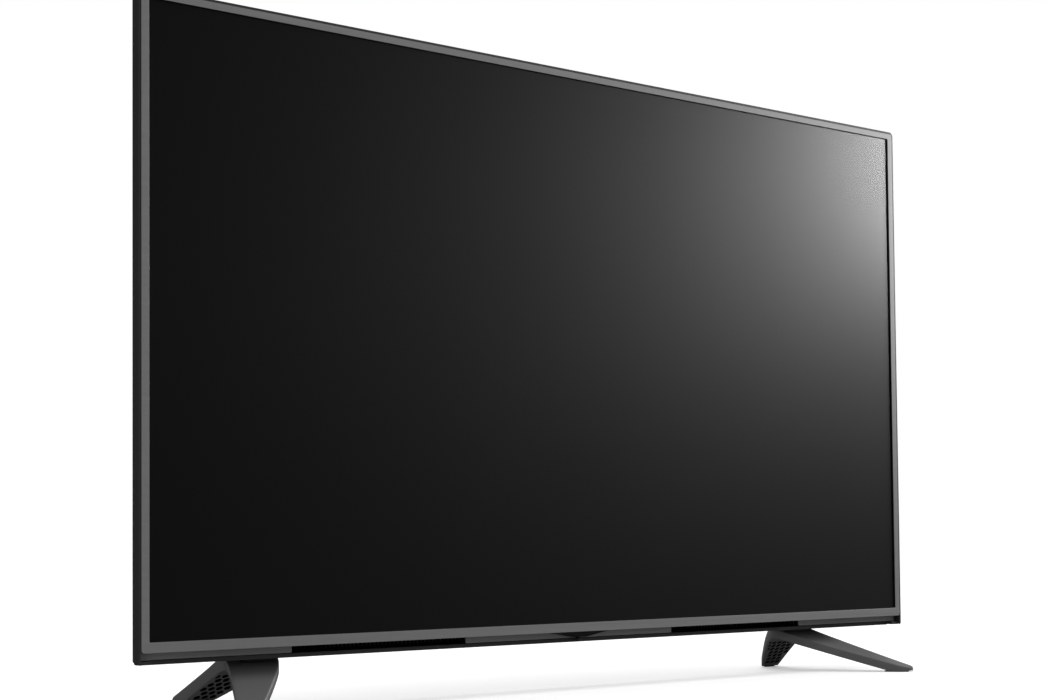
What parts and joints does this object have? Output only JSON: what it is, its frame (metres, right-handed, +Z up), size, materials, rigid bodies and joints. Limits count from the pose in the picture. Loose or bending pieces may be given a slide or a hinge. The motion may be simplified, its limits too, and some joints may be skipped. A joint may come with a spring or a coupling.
{
  "type": "flat screen tv",
  "caption": "Flat screen television with a thin brushed grey frame, dark chin with speaker slots and splayed boomerang feet, complete with screen stack, boards, speakers and rear cover.",
  "frame": {"origin": "On the floor, in the middle of the feet's footprint", "axes": "X right across the screen as seen from the front, Y back from the screen, Z up"},
  "size_m": [1.0978, 0.202, 0.6929],
  "materials": {
    "grey_frame": "brushed",
    "dark_rim": "satin",
    "charcoal": "satin",
    "black_sheet": "matt",
    "dark_window": "gloss",
    "screen": "anti-glare",
    "black_plastic": "matt",
    "foam": "matt",
    "optical_film": "satin",
    "white_sheet": "matt",
    "lens": "clear",
    "tray_steel": "zinc plated",
    "board_green": "solder mask",
    "board_tan": "bare laminate",
    "film_amber": "gloss",
    "ribbon": "satin",
    "heatsink": "anodised",
    "port_metal": "bright",
    "capacitor": "sleeved",
    "winding_tape": "tape",
    "wire": "satin",
    "steel": "zinc plated",
    "cone": "paper",
    "back_plastic": "fine texture",
    "screw_black": "blackened",
    "foot_plastic": "satin",
    "rubber": "matt"
  },
  "bodies": {
    "set": {"front_frame": "grey_frame", "side_frame": "dark_rim", "lower_trim": "charcoal", "slot_bars": "charcoal", "left_grille": "black_sheet", "right_grille": "black_sheet", "ir_window": "dark_window", "ir_board": "board_green", "joystick_housing": "black_plastic", "joystick_switch": "black_plastic", "panel_gasket": "foam", "lcd_panel": "screen", "panel_guide": "black_plastic", "prism_sheet": "optical_film", "diffuser_sheet": "optical_film", "diffuser_plate": "white_sheet", "reflector_sheet": "white_sheet", "led_bars": "white_sheet", "led_lenses": "lens", "backlight_tray": "tray_steel", "source_boards": "board_green", "driver_films": "film_amber", "timing_board": "board_green", "panel_cables": "ribbon", "signal_cable": "ribbon", "main_board": "board_green", "main_heatsink": "heatsink", "video_ports": "port_metal", "data_port": "port_metal", "network_port": "port_metal", "antenna_socket": "port_metal", "optical_port": "black_plastic", "av_jacks": "black_plastic", "power_board": "board_tan", "bulk_capacitors": "capacitor", "transformers": "winding_tape", "power_heatsink": "heatsink", "ac_inlet": "black_plastic", "power_harness": "wire", "standoffs": "steel", "board_screws": "steel", "left_speaker_box": "black_plastic", "right_speaker_box": "black_plastic", "speaker_leads": "wire", "wireless_board": "board_green", "wall_mount_posts": "steel", "rear_cover": "back_plastic", "rear_cover_screws": "screw_black", "stand_brackets": "steel", "left_foot": "foot_plastic", "right_foot": "foot_plastic", "left_foot_insert": "black_plastic", "right_foot_insert": "black_plastic", "foot_pads": "rubber", "foot_screws": "screw_black"},
    "plunger": {"joystick_plunger": "black_plastic"},
    "ring": {"joystick_ring": "steel"},
    "knob": {"joystick_knob": "black_plastic"},
    "left_cone": {"left_speaker_cone": "cone"},
    "right_cone": {"right_speaker_cone": "cone"}
  },
  "joints": [
    {"name": "joystick_press", "type": "slide", "parent": "set", "child": "plunger", "axis": [0, 0, 1], "range_m": [0, 0.0006], "stiffness_N_per_m": 300},
    {"name": "joystick_tilt_side", "type": "hinge", "parent": "plunger", "child": "ring", "pos_m": [0, -0.0179, 0.0634], "axis": [0, 1, 0], "range_deg": [-5, 5], "stiffness_Nm_per_rad": 0.02},
    {"name": "joystick_tilt_depth", "type": "hinge", "parent": "ring", "child": "knob", "pos_m": [0, -0.0179, 0.0634], "axis": [1, 0, 0], "range_deg": [-5, 5], "stiffness_Nm_per_rad": 0.02},
    {"name": "left_cone_travel", "type": "slide", "parent": "set", "child": "left_cone", "axis": [0, 0, 1], "range_m": [-0.0012, 0.0012], "stiffness_N_per_m": 1500},
    {"name": "right_cone_travel", "type": "slide", "parent": "set", "child": "right_cone", "axis": [0, 0, 1], "range_m": [-0.0012, 0.0012], "stiffness_N_per_m": 1500}
  ]
}
